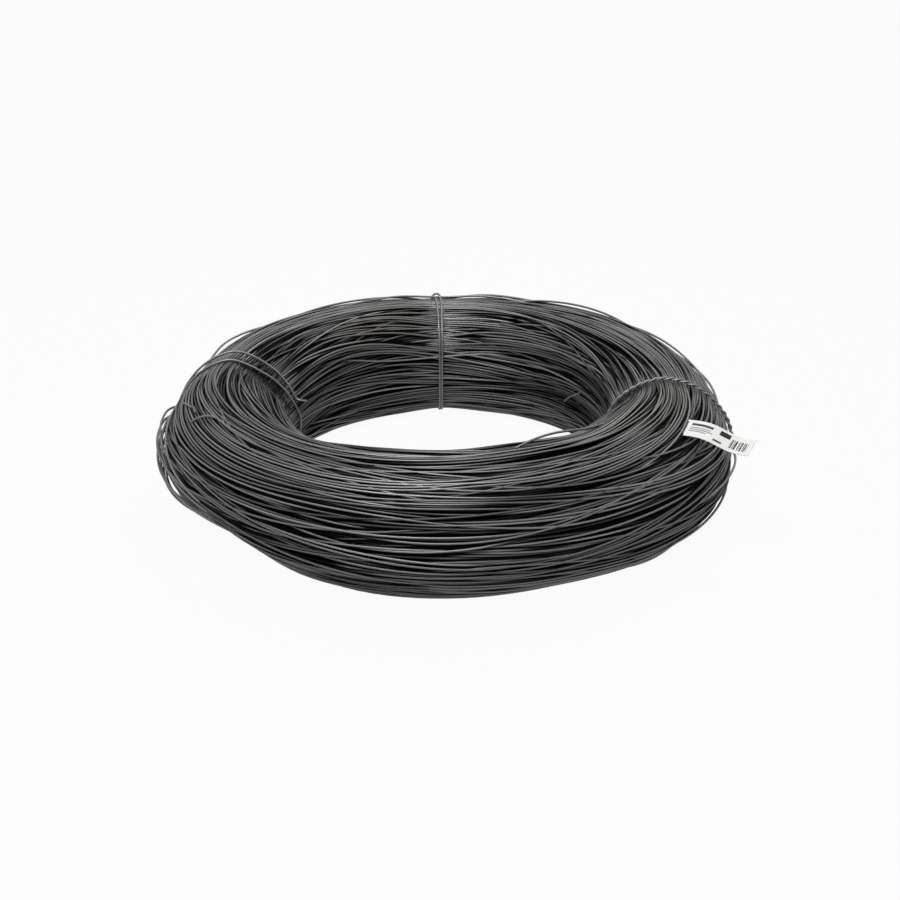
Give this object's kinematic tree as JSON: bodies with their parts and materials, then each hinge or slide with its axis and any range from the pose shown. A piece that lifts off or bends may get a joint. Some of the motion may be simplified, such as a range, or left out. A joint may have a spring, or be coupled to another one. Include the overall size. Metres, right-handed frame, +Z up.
{
  "type": "coil of annealed steel wire",
  "caption": "Flat-lying coil of dark annealed steel wire with a wide bore, held together by doubled tie wires and marked by a paper tag.",
  "frame": {"origin": "on the axis of the bore, at the level of the floor that the coil rests on", "axes": "+Z up along the axis of the bore, +X to the right and -Y towards the viewer of the picture"},
  "size_m": [0.4021, 0.3982, 0.0873],
  "materials": {
    "annealed_wire": "dark annealing oxide, satin",
    "tie_wire": "dark annealing oxide, satin",
    "paper": "white label paper, matt"
  },
  "bodies": {
    "root": {"wire_coil": "annealed_wire", "tie_left": "tie_wire", "tie_back": "tie_wire", "tie_right": "tie_wire", "tag": "paper"}
  },
  "joints": []
}
